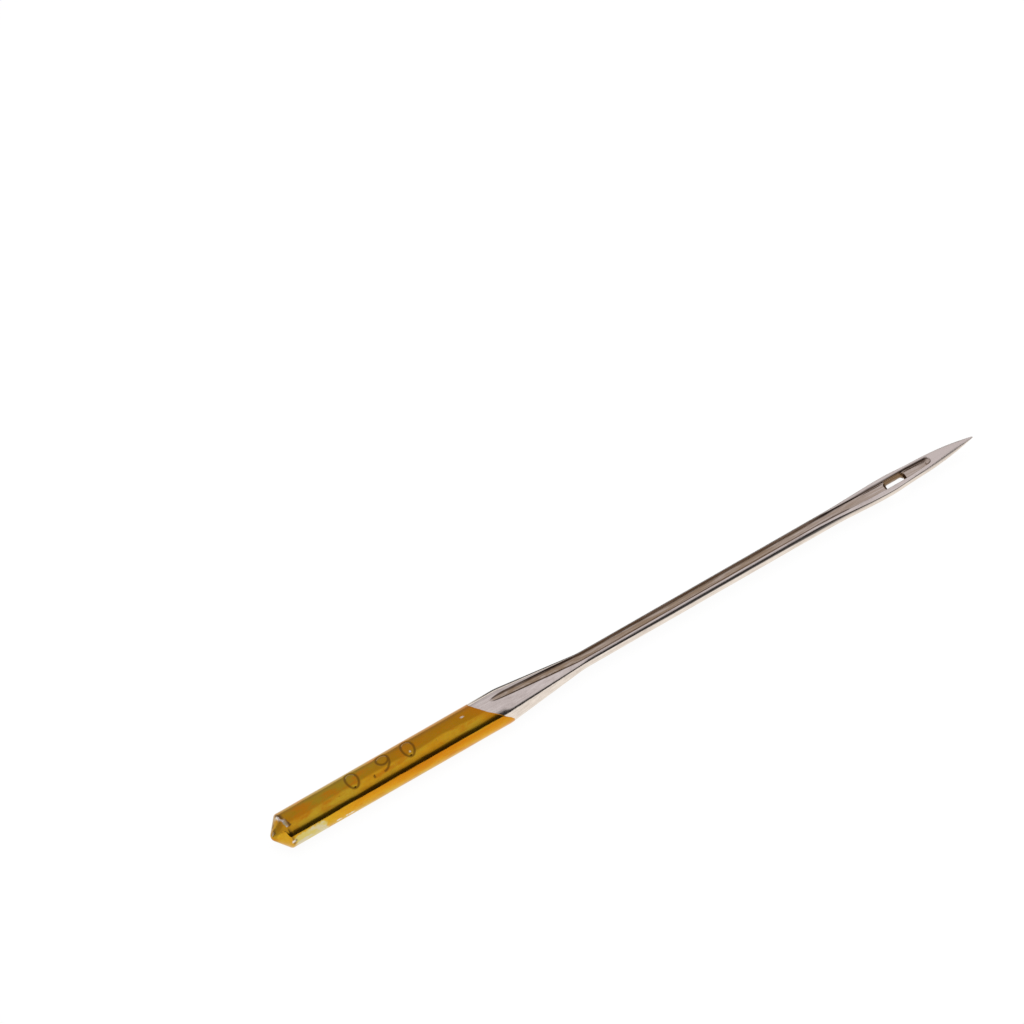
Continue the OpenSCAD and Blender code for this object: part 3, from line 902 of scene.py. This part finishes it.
def makeLacquer(lines, handling):
    v = lacquerFinish
    material, tree, shader = newMaterial("amberLacquer", v)
    polish = useGroup(tree, lines, {"Density": v["lineDensity"]})
    marks = useGroup(tree, handling, {"Speck Size": v["speckSize"]})
    names = ("bare", "stamped", "fromEdge", "chipShadowAndEdgeDark", "thin")
    bare, stamped, fromEdge, chipShadowAndEdgeDark, thin = [attributeField(tree, name) for name in names]

    # noises of several sizes, the first one for the waviness of the bands along the shank
    waver = (ownNoise(tree, (0.3, 0.3, 0.3), 1.0, 3.0, 0.5) - 0.5) * 0.3
    cloud = ownNoise(tree, (0.33, 0.9, 0.9), 1.0, 4.0, 0.55)
    patch = ownNoise(tree, (0.43, 1.1, 1.1), 1.5, 5.0, 0.6)
    grain = ramp(ownNoise(tree, (0.7, 1.0, 1.0), 5.0, 4.0, 0.7), 0.42, 0.66)
    blotch = ownNoise(tree, (0.7, 1.3, 1.3), 2.2, 4.0, 0.6)

    across, height = splitVector(tree, objectPoint(tree))[1:]
    side = across + waver
    high = height - lie["axisHeight"] + waver
    # painted shade: the top and far side of the shank are darker, more olive towards the butt
    upper = window(side, (-0.38, -0.24), (0.7, 0.9), smooth=True)
    # painted shade: a darker band along the near side of the shank, weaker towards the butt
    nearSideShade = ramp(side, -0.78, -0.88) * ramp(high, -0.1, 0.35) * (1.0 - ramp(fromEdge, 5.0, 11.0) * 0.8)
    edgeBand = 1.0 - ramp(fromEdge, 0.0, 1.1, smooth=True)
    buttBand = ramp(fromEdge, 11.9, 12.45)
    olive = least(ramp(cloud, 0.44, 0.62) + ramp(fromEdge, 7.5, 10.0) * 0.45, 1.0)
    thickFilmAndShade = most(most(ramp(patch, 0.5, 0.64) * 0.7, edgeBand * 0.55, 0.1), nearSideShade * 0.75, 0.1)
    nearButt = ramp(fromEdge, 4.0, 9.0) * ramp(cloud, 0.36, 0.54)
    shaded = mixColour(tree, v["upper"], v["upperOliveShade"], nearButt)
    straw = mixColour(tree, v["thin"], v["clouded"], ramp(blotch, 0.44, 0.58) * 0.7)
    worn = layerColours(tree, v["steel"], (
        (v["thin"], ramp(patch, 0.46, 0.56) * 0.7),
        (v["rim"], buttBand * ramp(blotch, 0.4, 0.6) * 0.5),
    ))
    colour = layerColours(tree, v["amber"], (
        (v["olive"], olive * 0.8),
        (v["brown"], grain * 0.35),
        (v["brown"], ramp(cloud, 0.48, 0.34) * 0.55),
        (shaded, upper * 0.7),
        (v["thickFilmAndShade"], thickFilmAndShade),
        (v["brown"], buttBand * 0.35),
        (v["speck"], marks["Specks"] * 0.85),
        (v["stroke"], stamped * 0.78),
        (straw, thin * 0.85),
        # painted shadow beside the chips, and darker along the butt's edge
        (v["rim"], chipShadowAndEdgeDark * 0.8),
        (worn, bare),
    ))
    tree.links.new(colour, shader.inputs["Base Color"])
    plug(tree, shader.inputs["Coat Weight"], (1.0 - bare) * v["coat"])
    rub = ramp(marks["Rub"], 0.4, 0.75)
    plug(tree, shader.inputs["Roughness"], rub * 0.06 + bare * 0.12 + v["roughness"])
    bumpNode(tree, shader, polish["Height"] + cloud * 6.0, v["bumpDepth"], v["bumpStrength"])
    return material


print("finishes: steel and lacquer")
linesGroup = polishLinesGroup()
marksGroup = handlingGroup()
steelMaterial = makeSteel(linesGroup, marksGroup)
lacquerMaterial = makeLacquer(linesGroup, marksGroup)

print("needle: turning and pressing the steel")
needleStations = steelStations(steel)
pressedSizes = dict(pressed, Finish=steelMaterial)
flatNeedle = layOut("flatNeedle", needleStations, ringLanes, 0.0, steel["tip"])
needleMesh = shapeByTree(flatNeedle, pressTree(pressedSizes), pressedSizes)
needleSteel = addObject("needle_steel", cutEye(needleMesh, needleStations, steel))

print("lacquer: dipping and stamping the shank")
strokeGuide = guideObject("strokeGuide", digitStrokes(stamp))
chipGuide = guideObject("chipGuide", [[spot] for group in chips.values() for spot in group])
thinGuide = guideObject("thinGuide", [[spot] for spot in thinSpots])
filmSizes = dict(lacquer, Strokes=strokeGuide, Chips=chipGuide, Finish=lacquerMaterial)
filmSizes["Thin Spots"] = thinGuide
flatFilm = layOut("flatFilm", filmStations(steel, lacquer), filmLanes(), 0.0, 0.02)
needleLacquer = addObject("needle_lacquer", shapeByTree(flatFilm, filmTree(filmSizes), filmSizes))

for helper in (flatNeedle, flatFilm, strokeGuide, chipGuide, thinGuide):
    spare = helper.data
    bpy.data.objects.remove(helper)
    bpy.data.meshes.remove(spare)
for piece in (needleSteel, needleLacquer):
    facesOutward(piece.data)
    shadeSmooth(piece.data)
    print(piece.name, len(piece.data.polygons), "faces")

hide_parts("needle")
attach(needleSteel, "root")
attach(needleLacquer, "root")


# Floor, light and camera

studio = {
    "floorSize": 0.6, "floorShade": 0.9, "floorWhite": 0.955, "floorTint": (0.97, 0.925, 0.84),
    # the floor's grey zones behind and in front of the blade, which only reflections see
    "fade": 0.92, "fadeStart": 0.2, "fadeEnd": 1.2, "fadeFrom": -8.5, "fadeSoft": 1.5, "fadeDepth": 7.0,
    "frontFrom": 2.5, "frontStart": 4.0, "frontEnd": 7.0, "nearer": 2.6, "nearerFrom": 10.0, "nearerSoft": 2.0,
    # grey level of the studio over the needle, by share of the half turn from the front horizon over the top
    "walls": ((0.0, 0.03), (0.11, 0.042), (0.148, 0.11), (0.17, 0.46), (0.21, 0.62), (0.3, 0.7), (0.42, 0.68),
              (0.52, 0.68), (0.66, 0.68), (0.82, 0.66), (0.92, 0.56), (1.0, 0.48)),
    "tint": (1.0, 0.945, 0.955), "narrowFrom": 0.2, "narrowing": 8.0, "widenBelow": 0.17, "widening": 7.0,
    "lampPower": 3.4, "lampSize": 0.5, "lampHeight": 0.6,
}
white = (1.0, 1.0, 1.0)


def makeFloor(v):
    mesh = bpy.data.meshes.new("floor")
    h = v["floorSize"]
    mesh.from_pydata([(-h, -h, 0), (h, -h, 0), (h, h, 0), (-h, h, 0)], [], [(0, 1, 2, 3)])
    floor = addObject("floor", mesh)
    material = bpy.data.materials.new("paleFloor")
    material.use_nodes = True
    tree = material.node_tree
    tree.nodes.clear()
    diffuse = tree.nodes.new("ShaderNodeBsdfDiffuse")
    diffuse.inputs["Color"].default_value = (v["floorShade"],) * 3 + (1.0,)
    path = tree.nodes.new("ShaderNodeLightPath")
    camera, glossy = [Field(tree, path.outputs[name]) for name in ("Is Camera Ray", "Is Glossy Ray")]
    x, y = splitVector(tree, objectPoint(tree))[:2]
    back = window(y, (v["fadeStart"], v["fadeEnd"]), (v["fadeDepth"], v["fadeDepth"] * 1.6))
    back = back * ramp(x, v["fadeFrom"], v["fadeFrom"] + v["fadeSoft"])
    nearer = ramp(x, v["nearerFrom"], v["nearerFrom"] + v["nearerSoft"]) * v["nearer"]
    front = ramp(nearer - y, v["frontStart"], v["frontEnd"])
    front = front * ramp(x, v["frontFrom"], v["frontFrom"] + v["fadeSoft"])
    glow = tree.nodes.new("ShaderNodeEmission")
    plug(tree, glow.inputs["Strength"], most(camera, glossy * (1.0 - most(back, front) * v["fade"])))
    tree.links.new(mixColour(tree, v["floorTint"], white, camera), glow.inputs["Color"])
    mix = tree.nodes.new("ShaderNodeMixShader")
    plug(tree, mix.inputs["Fac"], most(camera, glossy) * v["floorWhite"])
    tree.links.new(diffuse.outputs[0], mix.inputs[1])
    tree.links.new(glow.outputs[0], mix.inputs[2])
    end = tree.nodes.new("ShaderNodeOutputMaterial")
    tree.links.new(mix.outputs[0], end.inputs["Surface"])
    mesh.materials.append(material)


def makeStudio(v):
    # walls of the studio as a grey ramp from the front horizon over the top to the back
    world = bpy.data.worlds.new("studio")
    bpy.context.scene.world = world
    world.use_nodes = True
    tree = world.node_tree
    tree.nodes.clear()
    source = tree.nodes.new("ShaderNodeTexCoord")
    x, y, z = splitVector(tree, source.outputs["Generated"])
    turn = calc("ARCTAN2", z, y * -1.0) / math.pi

    # the dark front horizon is narrower towards the point and wider towards the butt
    narrow = most(x - v["narrowFrom"], 0.0) * v["narrowing"] * (1.0 - ramp(turn, 0.15, 0.5))
    widen = least(most(v["widenBelow"] - x, 0.0), 0.07) * v["widening"] * ramp(x, -0.15, -0.02)
    turn = turn + (narrow - widen) * least(turn, 0.25)
    shade = tree.nodes.new("ShaderNodeValToRGB")
    shade.color_ramp.interpolation = "EASE"
    marks = shade.color_ramp.elements
    while len(marks) < len(v["walls"]):
        marks.new(0.5)
    for mark, (place, level) in zip(marks, v["walls"]):
        mark.position = place
        mark.color = [level * share for share in v["tint"]] + [1.0]
    plug(tree, shade.inputs[0], most(turn, 0.0))
    path = tree.nodes.new("ShaderNodeLightPath")
    sky = tree.nodes.new("ShaderNodeBackground")
    seen = mixColour(tree, shade.outputs[0], white, path.outputs["Is Camera Ray"])
    tree.links.new(seen, sky.inputs["Color"])
    end = tree.nodes.new("ShaderNodeOutputWorld")
    tree.links.new(sky.outputs[0], end.inputs["Surface"])
    lamp = bpy.data.lights.new("softbox", "AREA")
    lamp.size = v["lampSize"]
    lamp.energy = v["lampPower"]
    softbox = bpy.data.objects.new("softbox", lamp)
    softbox.location = (0, 0, v["lampHeight"])
    softbox.visible_glossy = False
    bpy.context.scene.collection.objects.link(softbox)


# the photograph's view: direction to the camera, its roll, its frame width and where the needle's middle falls
view = {"toCamera": (-0.1857, -0.5495, 0.8146), "roll": 14.345, "lens": 1000.0, "sensor": 36.0,
        "frameWidth": 52.9, "middleInFrame": (622.75, 637.1), "frame": 1024, "nearest": 0.01, "farthest": 5.0}


def makeCamera(v):
    toCamera = Vector(v["toCamera"]).normalized()
    level = Vector((0, 0, 1)).cross(toCamera).normalized()
    rise = toCamera.cross(level)
    roll = math.radians(v["roll"])
    right = level * math.cos(roll) - rise * math.sin(roll)
    up = level * math.sin(roll) + rise * math.cos(roll)
    scale = v["frameWidth"] / v["frame"]
    aside = (v["frame"] / 2 - v["middleInFrame"][0]) * scale
    above = (v["middleInFrame"][1] - v["frame"] / 2) * scale
    aim = Vector((0, 0, lie["axisHeight"])) + right * aside + up * above
    data = bpy.data.cameras.new("photoView")
    data.lens = v["lens"]
    data.sensor_width = v["sensor"]
    data.clip_start = v["nearest"]
    data.clip_end = v["farthest"]
    camera = bpy.data.objects.new("photoView", data)
    camera.matrix_world = Matrix((right, up, toCamera)).transposed().to_4x4()
    camera.location = (aim + toCamera * (v["frameWidth"] * v["lens"] / v["sensor"])) * mm
    bpy.context.scene.collection.objects.link(camera)
    bpy.context.scene.camera = camera


print("studio: floor, light and camera")
makeFloor(studio)
makeStudio(studio)
makeCamera(view)
bpy.context.scene.view_settings.view_transform = "Standard"
